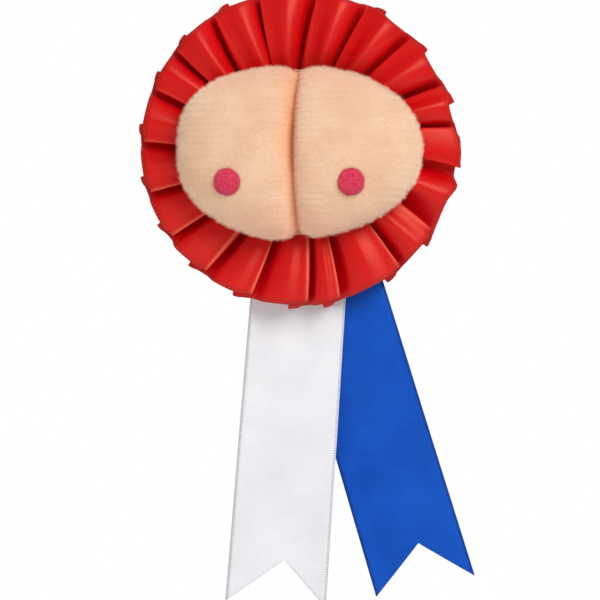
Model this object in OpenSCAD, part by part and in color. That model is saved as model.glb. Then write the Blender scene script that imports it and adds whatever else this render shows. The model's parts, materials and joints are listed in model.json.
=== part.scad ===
// Prize rosette: pleated satin ruffle, stuffed two-lobed pad, two ribbon tails and a bar pin.
// Upright as worn. The front faces -Y, +X is to the right of the front view and +Z is up.
// The origin is the centre of the back disc's rear face, which lies against the garment.

/* [Ruffle] */
// Radius to the outer edge of the pleats
ruffle_r = 63; // [58:0.5:80]
// Width of the satin ribbon that is pleated
ribbon_w = 38.5; // [30:0.5:40]
// Number of knife pleats
pleat_count = 20; // [16:1:24]
// Height of a fold at the outer edge
fold_h = 9; // [6:0.5:14]
// Height of a fold at the stitched inner edge
fold_root_h = 3; // [2.8:0.1:5]
// How far a pleat tucks under its neighbour at the outer edge
tuck = 4; // [2:0.5:6]
// How far a pleat tucks under its neighbour at the inner edge
tuck_root = 10; // [6:0.5:10]
// Thickness of the pleated ribbon
ribbon_t = 0.3; // [0.2:0.05:0.4]
// Radius of the gathering thread
gather_thread_r = 0.25; // [0.15:0.05:0.4]

/* [Pad] */
// Width of the pad over both lobes
pad_w = 94; // [78:1:110]
// Height of a lobe
pad_tall = 65; // [54:1:80]
// Thickness of the pad, from its rear to its front
pad_d = 27; // [22:0.5:34]
// Depth of the rounded rear part of a lobe
pad_rear_d = 8; // [6:0.5:11]
// Distance of a lobe's fullest part from the cleft
lobe_mid = 15; // [11:0.5:20]
// Height of the outline at the cleft, as a share of the lobe's height
cleft_tall = 0.9; // [0.8:0.01:0.97]
// Fullness of the front at the cleft, as a share of the lobe's fullness
cleft_full = 0.55; // [0.4:0.01:0.8]
// Thickness of the brushed knit cover
cover_t = 1.2; // [0.8:0.1:2]
// How far the pad's middle sits below the middle of the ruffle
pad_drop = 2.6; // [0:0.1:3]
// Radius of the cinching thread
cinch_thread_r = 0.3; // [0.2:0.05:0.5]

/* [Dots] */
// Diameter of a felt dot
dot_d = 10; // [8:0.5:13]
// Height of a dot's crown over the pad
dot_h = 2.2; // [1.5:0.1:3]
// Place of the left dot, across
left_dot_x = -26.7; // [-34:0.1:-12]
// Place of the right dot, across
right_dot_x = 18.9; // [12:0.1:34]
// Place of both dots, up
dots_z = -14.7; // [-16:0.1:13]

/* [Tails] */
// Width of a tail ribbon
tail_w = 38; // [32:0.5:42]
// Length of a tail from its staple to its tips
tail_l = 159; // [130:1:200]
// Depth of the swallow-tail cut
notch_d = 17; // [12:0.5:24]
// Thickness of a tail ribbon
tail_t = 0.35; // [0.25:0.05:0.5]
// Lean of the white tail, positive towards +X at its lower end
white_lean = -4.2; // [-10:0.1:0]
// Lean of the blue tail
blue_lean = 16.8; // [10:0.1:22]
// Length of tail above its staple
tail_head = 12; // [8:0.5:14]
// Place of the staple that holds both tails, across
staple_x = 2.5; // [-5:0.5:5]
// Place of the staple, up
staple_z = -16; // [-18:0.5:-12]
// Space between the two tails
tail_gap = 0.3; // [0.2:0.05:0.5]

/* [Discs] */
// Thickness of the front card
card_t = 1.2; // [0.8:0.1:2]
// How far the front card reaches under the ruffle
card_margin = 8; // [5:0.5:12]
// Thickness of the back disc
back_t = 1.2; // [0.8:0.1:2]
// How far the back disc reaches past the front card
back_margin = 3.5; // [2:0.5:6]
// Radius of a dab of glue
dab_r = 4; // [3:0.5:5]

/* [Staple] */
// Diameter of the staple wire
staple_wire_d = 0.5; // [0.4:0.05:0.6]
// Width of the staple's crown
staple_w = 12; // [10:0.5:13]
// Length of a clinched leg end
clinch_l = 4; // [3:0.5:5]

/* [Bar pin] */
// Length of the bar
bar_l = 38; // [32:0.5:46]
// Width of the bar
bar_w = 5; // [4.5:0.1:6]
// Thickness of the bar's sheet
bar_t = 0.7; // [0.5:0.05:0.9]
// Height of the bar above the middle of the rosette
bar_up = 14; // [10:0.5:18]
// Diameter of the needle
needle_d = 1; // [0.8:0.05:1.1]
// Height of the needle's axis over the back disc
needle_lift = 3.2; // [3.1:0.05:4]
// Length of the needle's tapered point
point_l = 8.5; // [8:0.5:11]
// Radius of the needle's eye and of the hinge ears
ear_r = 1.45; // [1.35:0.05:1.6]
// Thickness of a hinge ear
ear_t = 0.7; // [0.5:0.05:0.9]
// Diameter of the hinge rivet
rivet_d = 1; // [0.8:0.05:1.1]
// Outer radius of the catch housing
housing_r = 2.35; // [2.3:0.05:2.6]
// Wall of the catch housing
housing_wall = 0.55; // [0.5:0.05:0.7]
// Length of the catch housing
housing_l = 5; // [4:0.5:6]
// Length of the catch's lever, from the needle's axis
lever_l = 3.8; // [3.2:0.1:4.4]
// Diameter of a sewing hole in the bar
sew_hole_d = 2.2; // [2:0.1:2.6]
// Distance between the sewing holes
sew_pitch = 14; // [10:0.5:16]
// Radius of the sewing thread
sew_thread_r = 0.25; // [0.2:0.05:0.3]

/* [Hidden] */

// colours
RED = [0.84, 0.10, 0.10];
PEACH = [0.96, 0.80, 0.66];
RASPBERRY = [0.80, 0.18, 0.36];
WHITE = [0.92, 0.92, 0.94];
BLUE = [0.08, 0.27, 0.70];
PINK = [0.93, 0.66, 0.62];
CARD = [0.82, 0.80, 0.75];
STEEL = [0.75, 0.76, 0.78];

// clearances
seat_gap = 0.05;      // between pieces that are sewn or glued face to face
wire_gap = 0.1;       // around the staple's wire and the sewing thread
fill_gap = 0.2;       // between the pad's cover and its filling
rest_gap = 0.3;       // between the pad and the folds it lies on
flex_gap = 0.4;       // between the fixed and the hanging part of a tail
run_gap = 0.05;       // between the turning parts of the bar pin
slot_gap = 0.2;       // between the needle and the slot it lifts out of
bore_gap = 0.3;       // between the needle and the catch barrel's bore
tail_rest_gap = 0.15; // between the white tail and the front card
overrun = 1;          // how far a cutting shape runs past what it cuts

// heights over the origin plane, measured towards the front
blue_h = back_t + staple_wire_d + 2 * wire_gap;
white_h = blue_h + tail_t + tail_gap;
card_h = white_h + tail_t + tail_rest_gap;
card_front = card_h + card_t;
ruffle_h = card_front + seat_gap;

// ruffle
ruffle_in_r = ruffle_r - ribbon_w;
pitch = 360 / pleat_count;
layer_gap = 2 * ribbon_t;
panel_steps = 4;
return_steps = 2;
ruffle_rings = 4;
side_points = panel_steps + return_steps + 2;

// discs and pad
card_r = ruffle_in_r + card_margin;
back_r = card_r + back_margin;
dab_inset = 3;
dab_ring_r = card_r - dab_r - dab_inset;
pad_half_w = pad_w / 2;
pad_half_tall = pad_tall / 2;
plug_margin = 2;
plug_r = min(ruffle_in_r, pad_half_tall * cleft_tall - pad_drop) - plug_margin;
pad_rest_h = ruffle_h + fold_height(min(pad_half_w, ruffle_r)) + ribbon_t + rest_gap;
equator_h = pad_rest_h + pad_rear_d;
front_d = pad_d - pad_rear_d;
clinch_h = card_front + staple_wire_d;

// bar pin
needle_r = needle_d / 2;
rivet_r = rivet_d / 2;
ear_inset = 0.6;
hinge_x = -bar_l / 2 + ear_r + ear_inset;
eye_t = 1.2;
ear_z = eye_t / 2 + run_gap;
collar_t = 0.8;
housing_bore_r = housing_r - housing_wall;
barrel_r = housing_bore_r - run_gap;
collar_lip = 0.35;
collar_r = housing_bore_r + collar_lip;
housing_x = bar_l / 2 - housing_l - collar_t;
collar_x = housing_x - run_gap - collar_t;
barrel_bore_r = needle_r + bore_gap;
slot_w = needle_d + 2 * slot_gap;
barrel_l = housing_l + 2 * (collar_t + run_gap);

// height of the folds at a distance from the middle
function fold_height(r) = fold_root_h + (fold_h - fold_root_h) * (r - ruffle_in_r) / ribbon_w;

// share of a full turn, in degrees, of an arc length at a radius
function arc_deg(len, r) = len / r * 180 / PI;

// one pleat's outline at radius r, as [clockwise arc, height]: face is 1 on the satin side and
// -1 on the other. The panel falls from its crisp fold and tucks under the next one, and the
// ribbon then climbs back to the next fold.
function pleat_side(r, face) =
    let (
        share = (r - ruffle_in_r) / ribbon_w,
        high = fold_height(r),
        under = tuck_root + (tuck - tuck_root) * share,
        step = 2 * PI * r / pleat_count,
        run = step + under,
        off = ribbon_t / 2
    )
    [
        [-face * off, high + face * off],
        for (i = [1 : panel_steps - 1])
            [run * i / panel_steps, high * (1 - i / panel_steps) + face * off],
        [run - face * off, face * off],
        for (i = [0 : return_steps])
            let (climb = i / return_steps)
            [run - under * climb - face * off, layer_gap + (high - 2 * layer_gap) * climb - face * off]
    ];

// the whole ruffle's outline at radius r on one face
function ruffle_side(r, face) = [
    for (k = [0 : pleat_count - 1], p = pleat_side(r, face))
        let (a = -k * pitch - arc_deg(p[0], r))
        [r * cos(a), r * sin(a), p[1] + ribbon_t / 2]
];

// closed band of quads between two loops of n points that start at a and b
function band(a, b, n) = [
    for (i = [0 : n - 1])
        let (j = (i + 1) % n)
        each [[a + i, a + j, b + j], [a + i, b + j, b + i]]
];

// puts a shape drawn in the front view's plane, with its height towards the viewer, in place
module facing(h = 0) {
    translate([0, -h, 0]) rotate([90, 0, 0]) children();
}

module ruffle_body() {
    n = pleat_count * side_points;
    radii = [for (i = [0 : ruffle_rings - 1]) ruffle_in_r + ribbon_w * i / (ruffle_rings - 1)];
    points = [for (r = radii, face = [1, -1], p = ruffle_side(r, face)) p];
    last = ruffle_rings - 1;
    faces = [
        for (i = [0 : last - 1]) each band((2 * i + 2) * n, 2 * i * n, n),
        for (i = [0 : last - 1]) each band((2 * i + 1) * n, (2 * i + 3) * n, n),
        each band(0, n, n),
        each band((2 * last + 1) * n, 2 * last * n, n)
    ];
    polyhedron(points, faces, convexity = 12);
}

module pleated_ruffle() {
    color(RED) facing(ruffle_h) ruffle_body();
}

module gather_thread() {
    ring_r = ruffle_in_r - ribbon_t - gather_thread_r;
    color(RED) facing(ruffle_h + fold_root_h / 2)
        rotate_extrude($fn = 96) translate([ring_r, 0]) circle(r = gather_thread_r, $fn = 16);
}

// the two legs of the staple, as holes or as wire
module staple_legs(r, from_h, to_h) {
    for (side = [-1, 1])
        facing(from_h) translate([staple_x + side * staple_w / 2, staple_z, 0])
            cylinder(r = r, h = to_h - from_h, $fn = 24);
}

module staple_holes() {
    staple_legs(staple_wire_d / 2 + wire_gap, back_t, card_front + overrun);
}

module front_card() {
    color(CARD) difference() {
        facing(card_h) cylinder(r = card_r, h = card_t, $fn = 96);
        staple_holes();
    }
}

// stations along a lobe, from the cleft to its fullest part and on to its outer end, each as
// [distance from the cleft, share of the height, share of the fullness]; the outer end closes in
// one point past the last station
inner_steps = 3;
outer_steps = 7;
outer_turn = 84;
lobe_sides = 24;
lobe_stations = [
    for (i = [0 : inner_steps])
        let (a = 90 * i / inner_steps)
        [
            lobe_mid * (1 - cos(a)),
            cleft_tall + (1 - cleft_tall) * sin(a),
            cleft_full + (1 - cleft_full) * sin(a)
        ],
    for (i = [1 : outer_steps])
        let (b = outer_turn * i / outer_steps)
        [lobe_mid + (pad_half_w - lobe_mid) * sin(b), cos(b), cos(b)]
];

// one lobe on the +X side, drawn in, all round, by the given skin
module lobe(skin = 0) {
    n = lobe_sides;
    reach = pad_half_w - skin;
    squeeze = (reach - skin) / pad_half_w;
    rings = [
        for (s = lobe_stations)
            for (i = [0 : n - 1])
                let (
                    a = 360 * i / n,
                    tall = (pad_half_tall - skin) * s[1],
                    deep = ((sin(a) > 0 ? front_d : pad_rear_d) - skin) * (sin(a) > 0 ? s[2] : s[1])
                )
                [skin + s[0] * squeeze, tall * cos(a) - pad_drop, equator_h + deep * sin(a)]
    ];
    count = len(lobe_stations);
    tip = count * n;
    faces = [
        for (i = [0 : count - 2]) each band((i + 1) * n, i * n, n),
        [for (i = [0 : n - 1]) i],
        for (i = [0 : n - 1]) [tip, (count - 1) * n + i, (count - 1) * n + (i + 1) % n]
    ];
    polyhedron(concat(rings, [[reach, -pad_drop, equator_h]]), faces, convexity = 4);
}

// the right half of the pad, in the front view's plane: a lobe, and its part of the round boss
// that fills the hole of the ruffle as far as the lobes cover it
module pad_half(skin = 0) {
    lobe(skin);
    intersection() {
        translate([0, 0, card_front + seat_gap + skin])
            cylinder(r = plug_r - skin, h = equator_h - card_front, $fn = 64);
        translate([skin, -plug_r, 0]) cube([plug_r, 2 * plug_r, equator_h]);
    }
}

module both_halves(skin = 0) {
    pad_half(skin);
    mirror([1, 0, 0]) pad_half(skin);
}

// room for the clinched staple in the rear of the pad
module clinch_pocket() {
    pocket_w = staple_w + staple_wire_d + 4 * wire_gap;
    pocket_tall = staple_wire_d + 4 * wire_gap;
    translate([staple_x - pocket_w / 2, staple_z - pocket_tall / 2, 0])
        cube([pocket_w, pocket_tall, clinch_h + 2 * wire_gap]);
}

module pad_cover() {
    color(PEACH) facing() difference() {
        both_halves();
        both_halves(cover_t);
        clinch_pocket();
    }
}

module right_filling() {
    color("ivory") facing() pad_half(cover_t + fill_gap);
}

module left_filling() {
    mirror([1, 0, 0]) right_filling();
}

// a round thread swept along points in the plane of the cleft
module plane_thread(route, r, sides) {
    n = sides;
    count = len(route);
    function heading(i) = route[min(i + 1, count - 1)] - route[max(i - 1, 0)];
    rings = [
        for (i = [0 : count - 1])
            let (
                d = heading(i) / norm(heading(i)),
                p = route[i]
            )
            for (j = [0 : n - 1])
                let (a = 360 * j / n)
                [r * sin(a), p[0] + r * cos(a) * d[1], p[1] - r * cos(a) * d[0]]
    ];
    faces = [
        for (i = [0 : count - 2]) each band(i * n, (i + 1) * n, n),
        [for (i = [n - 1 : -1 : 0]) i],
        [for (i = [0 : n - 1]) (count - 1) * n + i]
    ];
    polyhedron(rings, faces, convexity = 4);
}

// the thread lies in the cleft, from one notch of the outline to the other
cinch_steps = 24;
cinch_route = [
    for (i = [0 : cinch_steps])
        let (
            a = 180 * i / cinch_steps,
            off = cinch_thread_r + seat_gap,
            tall = pad_half_tall * cleft_tall + off,
            deep = front_d * cleft_full + off
        )
        [tall * cos(a) - pad_drop, equator_h + deep * sin(a)]
];

module cinch_thread() {
    stitch_l = 4;
    notch_share = 0.7;
    stitch_up = pad_half_tall * (cleft_tall + notch_share * (1 - cleft_tall)) + cinch_thread_r;
    color(PINK) facing() {
        plane_thread(cinch_route, cinch_thread_r, 8);
        for (side = [-1, 1])
            translate([-stitch_l / 2, side * stitch_up - pad_drop, equator_h])
                rotate([0, 90, 0]) cylinder(r = cinch_thread_r, h = stitch_l, $fn = 16);
    }
}

// height of the pad's front at a place of the front view
function lobe_share(x, low) =
    abs(x) < lobe_mid
        ? low + (1 - low) * sqrt(1 - pow(1 - abs(x) / lobe_mid, 2))
        : sqrt(1 - pow((abs(x) - lobe_mid) / (pad_half_w - lobe_mid), 2));
function pad_front(x, z) =
    equator_h + front_d * lobe_share(x, cleft_full)
        * sqrt(1 - pow((z + pad_drop) / (pad_half_tall * lobe_share(x, cleft_tall)), 2));

// a felt dot: a low dome that is cut to the pad it is sewn on
module felt_dot(at) {
    span = 0.5;
    slope_x = (pad_front(at[0] + span, at[1]) - pad_front(at[0] - span, at[1])) / (2 * span);
    slope_z = (pad_front(at[0], at[1] + span) - pad_front(at[0], at[1] - span)) / (2 * span);
    up = [-slope_x, -slope_z, 1];
    dome_r = (pow(dot_d / 2, 2) + pow(dot_h, 2)) / (2 * dot_h);
    foot = 1.4;
    color(RASPBERRY) facing() difference() {
        translate([at[0], at[1], pad_front(at[0], at[1])])
            rotate(a = acos(1 / norm(up)), v = cross([0, 0, 1], up))
                intersection() {
                    translate([0, 0, dot_h - dome_r]) sphere(r = dome_r, $fn = 64);
                    translate([0, 0, -foot]) cylinder(d = dot_d, h = foot + dot_h + overrun, $fn = 48);
                }
        both_halves(-seat_gap);
    }
}

module left_dot() {
    felt_dot([left_dot_x, dots_z]);
}

module right_dot() {
    felt_dot([right_dot_x, dots_z]);
}

// direction of a tail in the front view, and how far down it the ruffle's rim lies
function tail_dir(lean) = [sin(lean), -cos(lean)];
function flex_at(lean) = ruffle_r + ribbon_t + 2 * flex_gap - [staple_x, staple_z] * tail_dir(lean);

// a flat stretch of tail between two distances from the staple
module tail_stretch(h, lean, from_d, to_d, notched) {
    facing(h) translate([staple_x, staple_z, 0]) rotate(lean) linear_extrude(tail_t)
        polygon([
            [-tail_w / 2, -from_d], [-tail_w / 2, -to_d],
            if (notched) [0, -to_d + notch_d],
            [tail_w / 2, -to_d], [tail_w / 2, -from_d]
        ]);
}

module tail_top(h, lean) {
    difference() {
        tail_stretch(h, lean, -tail_head, flex_at(lean) - flex_gap / 2, false);
        staple_holes();
    }
}

module tail_end(h, lean) {
    tail_stretch(h, lean, flex_at(lean) + flex_gap / 2, tail_l, true);
}

module white_tail_top() {
    color(WHITE) tail_top(white_h, white_lean);
}

module white_tail() {
    color(WHITE) tail_end(white_h, white_lean);
}

module blue_tail_top() {
    color(BLUE) tail_top(blue_h, blue_lean);
}

module blue_tail() {
    color(BLUE) tail_end(blue_h, blue_lean);
}

module tail_staple() {
    wire_r = staple_wire_d / 2;
    crown_h = back_t + wire_gap + wire_r;
    bend_h = card_front + wire_gap + wire_r;
    color(STEEL) {
        staple_legs(wire_r, crown_h, bend_h);
        facing() translate([staple_x, staple_z, 0]) {
            translate([-staple_w / 2, 0, crown_h]) rotate([0, 90, 0])
                cylinder(r = wire_r, h = staple_w, $fn = 24);
            for (side = [-1, 1]) {
                translate([side * staple_w / 2, 0, crown_h]) sphere(r = wire_r, $fn = 24);
                translate([side * staple_w / 2, 0, bend_h]) {
                    sphere(r = wire_r, $fn = 24);
                    rotate([0, -90 * side, 0]) cylinder(r = wire_r, h = clinch_l, $fn = 24);
                }
            }
        }
    }
}

// the places of the four sewing stitches: hole, and side of the bar
stitches = [for (hole = [-1, 1], side = [-1, 1]) [hole, side]];
inner_leg = 0.5;
outer_leg = bar_w / 2 + sew_thread_r + wire_gap;

module stitch_legs(r, from_y, to_y) {
    for (s = stitches, leg = [inner_leg, outer_leg])
        translate([s[0] * sew_pitch / 2, from_y, bar_up + s[1] * leg])
            rotate([-90, 0, 0]) cylinder(r = r, h = to_y - from_y, $fn = 16);
}

module back_disc() {
    color(CARD) difference() {
        facing() cylinder(r = back_r, h = back_t, $fn = 96);
        stitch_legs(sew_thread_r + wire_gap / 2, -back_t - overrun, overrun);
    }
}

module bar_stitches() {
    run_y = bar_t + sew_thread_r + seat_gap;
    color(CARD) {
        stitch_legs(sew_thread_r, -back_t, run_y);
        for (s = stitches) {
            translate([s[0] * sew_pitch / 2, run_y, bar_up + s[1] * inner_leg])
                rotate([0, s[1] > 0 ? 0 : 180, 0])
                    cylinder(r = sew_thread_r, h = outer_leg - inner_leg, $fn = 16);
            for (leg = [inner_leg, outer_leg])
                translate([s[0] * sew_pitch / 2, run_y, bar_up + s[1] * leg])
                    sphere(r = sew_thread_r, $fn = 16);
        }
    }
}

// the dabs lie round the upper half, clear of the tails
module glue_dabs() {
    dab_turn = 45;
    color("wheat") for (a = [0 : dab_turn : 180])
        facing(back_t + seat_gap) translate([dab_ring_r * cos(a), dab_ring_r * sin(a), 0])
            cylinder(r = dab_r, h = card_h - back_t - 2 * seat_gap, $fn = 32);
}

// a cylinder along X about the needle's axis
module along(x, r, l, sides = 32) {
    translate([x, needle_lift, bar_up]) rotate([0, 90, 0]) cylinder(r = r, h = l, $fn = sides);
}

// a cylinder along Z about the hinge's axis
module across(r, z, l, sides = 32) {
    translate([hinge_x, needle_lift, bar_up + z]) cylinder(r = r, h = l, $fn = sides);
}

module hinge_ear(z) {
    across(ear_r, z, ear_t);
    translate([hinge_x - ear_r, bar_t / 2, bar_up + z]) cube([2 * ear_r, needle_lift - bar_t / 2, ear_t]);
}

// opening above the needle's axis, of the given half width, over a stretch along X
module lift_slot(x, l, w) {
    translate([x, needle_lift, bar_up - w / 2]) cube([l, housing_r + overrun, w]);
}

module pin_bar() {
    web_w = 2.4;
    color(STEEL) difference() {
        union() {
            translate([0, bar_t, bar_up]) rotate([90, 0, 0]) linear_extrude(bar_t) {
                square([bar_l - bar_w, bar_w], center = true);
                for (side = [-1, 1]) translate([side * (bar_l - bar_w) / 2, 0]) circle(d = bar_w, $fn = 48);
            }
            hinge_ear(ear_z);
            hinge_ear(-ear_z - ear_t);
            along(housing_x, housing_r, housing_l, 48);
            translate([housing_x, bar_t / 2, bar_up - web_w / 2])
                cube([housing_l, needle_lift - bar_t / 2, web_w]);
        }
        across(rivet_r, -ear_z - ear_t - overrun, 2 * (ear_z + ear_t + overrun));
        along(housing_x - overrun, housing_bore_r, housing_l + 2 * overrun, 48);
        lift_slot(housing_x - overrun, housing_l + 2 * overrun, slot_w + 2 * run_gap);
        for (side = [-1, 1])
            translate([side * sew_pitch / 2, -overrun, bar_up]) rotate([-90, 0, 0])
                cylinder(d = sew_hole_d, h = bar_t + 2 * overrun, $fn = 32);
    }
}

module pin_rivet() {
    head_lip = 0.5;
    head_r = rivet_r + head_lip;
    head_t = 0.4;
    reach = ear_z + ear_t;
    color(STEEL) {
        across(rivet_r, -reach - head_t / 2, 2 * reach + head_t);
        across(head_r, reach, head_t);
        across(head_r, -reach - head_t, head_t);
    }
}

module pin_needle() {
    tip_r = 0.12;
    color(STEEL) difference() {
        union() {
            across(ear_r, -eye_t / 2, eye_t);
            along(hinge_x, needle_r, collar_x - hinge_x);
            translate([collar_x, needle_lift, bar_up]) rotate([0, 90, 0])
                cylinder(r1 = needle_r, r2 = tip_r, h = point_l, $fn = 32);
        }
        across(rivet_r + run_gap, -eye_t, 2 * eye_t);
    }
}

module catch_barrel() {
    lever_w = 1.3;
    color(STEEL) difference() {
        union() {
            along(collar_x, barrel_r, barrel_l, 48);
            along(collar_x, collar_r, collar_t, 48);
            along(collar_x + barrel_l - collar_t, collar_r, collar_t, 48);
            translate([collar_x + barrel_l - collar_t, needle_lift - lever_w / 2, bar_up - lever_l])
                cube([collar_t, lever_w, lever_l]);
        }
        along(collar_x - overrun, barrel_bore_r, barrel_l + 2 * overrun);
        lift_slot(collar_x - overrun, barrel_l + 2 * overrun, slot_w);
    }
}

pleated_ruffle();
gather_thread();
front_card();
pad_cover();
left_filling();
right_filling();
cinch_thread();
left_dot();
right_dot();
white_tail_top();
white_tail();
blue_tail_top();
blue_tail();
tail_staple();
back_disc();
glue_dabs();
pin_bar();
pin_rivet();
pin_needle();
catch_barrel();
bar_stitches();
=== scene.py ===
import json
import math
import random

import bmesh
import bpy
import numpy as np
from mathutils import Matrix, Vector, noise
from mathutils.bvhtree import BVHTree


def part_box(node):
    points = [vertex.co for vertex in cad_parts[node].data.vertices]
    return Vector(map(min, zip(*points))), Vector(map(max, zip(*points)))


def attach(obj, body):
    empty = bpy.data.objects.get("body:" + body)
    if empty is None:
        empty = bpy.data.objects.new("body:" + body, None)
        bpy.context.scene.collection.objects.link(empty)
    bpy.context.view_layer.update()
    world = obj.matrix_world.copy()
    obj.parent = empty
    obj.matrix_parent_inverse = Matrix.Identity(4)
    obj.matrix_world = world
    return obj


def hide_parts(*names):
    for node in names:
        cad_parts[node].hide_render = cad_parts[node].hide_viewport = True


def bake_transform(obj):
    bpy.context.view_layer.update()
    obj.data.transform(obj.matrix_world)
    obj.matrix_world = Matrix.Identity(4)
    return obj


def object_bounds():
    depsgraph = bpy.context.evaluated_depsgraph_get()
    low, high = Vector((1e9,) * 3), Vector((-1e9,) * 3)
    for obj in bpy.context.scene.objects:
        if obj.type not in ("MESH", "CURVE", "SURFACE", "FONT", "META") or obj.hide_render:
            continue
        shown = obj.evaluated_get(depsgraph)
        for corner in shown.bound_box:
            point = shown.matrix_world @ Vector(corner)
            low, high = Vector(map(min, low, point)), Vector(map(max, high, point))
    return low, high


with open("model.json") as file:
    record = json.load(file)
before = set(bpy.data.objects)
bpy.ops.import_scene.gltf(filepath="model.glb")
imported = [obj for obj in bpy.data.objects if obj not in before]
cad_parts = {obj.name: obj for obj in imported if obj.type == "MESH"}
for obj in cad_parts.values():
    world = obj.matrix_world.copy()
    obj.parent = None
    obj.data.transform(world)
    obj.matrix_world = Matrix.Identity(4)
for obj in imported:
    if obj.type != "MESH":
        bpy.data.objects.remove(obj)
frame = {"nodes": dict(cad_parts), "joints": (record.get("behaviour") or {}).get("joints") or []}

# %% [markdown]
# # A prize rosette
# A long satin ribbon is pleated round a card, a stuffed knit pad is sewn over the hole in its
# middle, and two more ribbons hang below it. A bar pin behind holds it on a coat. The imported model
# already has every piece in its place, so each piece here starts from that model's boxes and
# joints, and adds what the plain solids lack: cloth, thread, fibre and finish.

MM = 0.001
cad_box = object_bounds()
joints = {joint["name"]: joint for joint in frame["joints"]}
print("box in mm:", [[round(value / MM, 1) for value in corner] for corner in cad_box])

# %% [markdown]
# ## Camera
# A long lens far away keeps the circle of pleats round and hardly enlarges the pad, which stands
# nearer to it. A short lens close by would make the pad look swollen. The camera looks straight
# along +Y, at the height that puts the ruffle's top and the tails' tips at the view's edges.

# %% Camera
FIELD = 231 * MM
LENS_MM = 120
SENSOR_MM = 36
AIM = Vector((0.0002, 0, -0.0581))

camera_data = bpy.data.cameras.new("camera")
camera_data.lens = LENS_MM
camera_data.sensor_width = SENSOR_MM
camera = bpy.data.objects.new("camera", camera_data)
bpy.context.scene.collection.objects.link(camera)
distance = FIELD * LENS_MM / SENSOR_MM
camera.location = AIM - Vector((0, distance, 0))
camera.rotation_euler = (math.radians(90), 0, 0)
bpy.context.scene.camera = camera
print("camera", round(distance, 3), "m away")

# %% [markdown]
# ## Light, floor and backdrop
# Satin needs something to mirror: one large soft key from the upper right draws the bright band
# on each pleat, a weaker one from the left keeps the valleys readable, and a pale world fills the
# rest. The camera sees that world as plain white, while the object is lit by a dimmer one, so
# that the ground is clean and the shades stay deep. Mirrored, it is dimmer still: satin that
# mirrors a bright sky everywhere looks chalky. The left lamp is kept out of reflections for the
# same reason. A third lamp behind shows the pin when the rosette is seen from the back.

# %% World
SOFT_SKY = 0.36
MIRRORED_SKY = 0.08
scene = bpy.context.scene
scene.view_settings.view_transform = "Standard"
world = bpy.data.worlds.new("studio")
scene.world = world
world.use_nodes = True
sky = world.node_tree
seen = sky.nodes["Background"]
seen.inputs["Color"].default_value = (1, 1, 1, 1)
lighting = sky.nodes.new("ShaderNodeBackground")
lighting.inputs["Color"].default_value = (1, 1, 1, 1)
ray = sky.nodes.new("ShaderNodeLightPath")
dimmed = sky.nodes.new("ShaderNodeMath")
dimmed.operation = "MULTIPLY_ADD"
dimmed.inputs[1].default_value = MIRRORED_SKY - SOFT_SKY
dimmed.inputs[2].default_value = SOFT_SKY
sky.links.new(ray.outputs["Is Glossy Ray"], dimmed.inputs[0])
sky.links.new(dimmed.outputs[0], lighting.inputs["Strength"])
choice = sky.nodes.new("ShaderNodeMixShader")
sky.links.new(ray.outputs["Is Camera Ray"], choice.inputs[0])
sky.links.new(lighting.outputs[0], choice.inputs[1])
sky.links.new(seen.outputs[0], choice.inputs[2])
sky.links.new(choice.outputs[0], sky.nodes["World Output"].inputs["Surface"])
print("world lights with", SOFT_SKY, "and is mirrored at", MIRRORED_SKY)

# %% Lamps
def soft_lamp(name, place, size, power):
    """A square soft box, size metres wide and power watts strong, that faces the rosette."""
    data = bpy.data.lights.new(name, "AREA")
    data.size = size
    data.energy = power
    lamp = bpy.data.objects.new(name, data)
    lamp.location = place
    lamp.rotation_euler = (AIM - Vector(place)).to_track_quat("-Z", "Y").to_euler()
    scene.collection.objects.link(lamp)
    return lamp


soft_lamp("key", (0.46, -0.76, 0.50), 0.55, 6.7)
fill_lamp = soft_lamp("fill", (-0.85, -0.55, -0.35), 0.9, 4.2)
fill_lamp.visible_glossy = False
soft_lamp("rear", (-0.3, 0.9, 0.5), 0.6, 5.0)
print("lamps", len(bpy.data.lights))

# %% Floor
FLOOR_DROP = 6 * MM
FLOOR_HALF = 0.4
FLOOR_BACK = 0.025
bm = bmesh.new()
bmesh.ops.create_grid(bm, x_segments=1, y_segments=1, size=FLOOR_HALF)
floor_place = (0, FLOOR_BACK - FLOOR_HALF, cad_box[0].z - FLOOR_DROP)
bmesh.ops.translate(bm, verts=bm.verts, vec=floor_place)
floor_mesh = bpy.data.meshes.new("floor")
bm.to_mesh(floor_mesh)
bm.free()
floor = bpy.data.objects.new("floor", floor_mesh)
scene.collection.objects.link(floor)
floor_paint = bpy.data.materials.new("floor")
floor_paint.use_nodes = True
paint = floor_paint.node_tree.nodes["Principled BSDF"]
paint.inputs["Base Color"].default_value = (0.9, 0.9, 0.9, 1)
paint.inputs["Roughness"].default_value = 0.8
floor.data.materials.append(floor_paint)
print("floor", round(FLOOR_DROP / MM), "mm below the tips")

# %% [markdown]
# ## Tools for the workshop
# A few small helpers are used by every piece. One turns a bmesh into an object. The others add a
# shader node and fill its sockets, mix two colours, do one step of arithmetic, and make clouds or
# even stripes. Writing them once keeps each material's own cell about the cloth, not the plumbing.

# %% Helpers for meshes and nodes
def make_piece(bm, name, smooth=True):
    """An object of its own from a bmesh, at the origin, with smooth faces."""
    for face in bm.faces:
        face.smooth = smooth
    mesh = bpy.data.meshes.new(name)
    bm.to_mesh(mesh)
    bm.free()
    piece = bpy.data.objects.new(name, mesh)
    scene.collection.objects.link(piece)
    print(name, len(mesh.polygons), "faces")
    return piece


def set_sockets(surface, **sockets):
    """Numbers and colours straight onto a shader's sockets, by name; _ stands for a space."""
    for key, value in sockets.items():
        surface.inputs[key.replace("_", " ")].default_value = value


def start_material(name, roughness, **sockets):
    """A new material with its node tree and its surface shader."""
    material = bpy.data.materials.new(name)
    material.use_nodes = True
    surface = material.node_tree.nodes["Principled BSDF"]
    set_sockets(surface, Roughness=roughness, **sockets)
    return material, material.node_tree, surface


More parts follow.
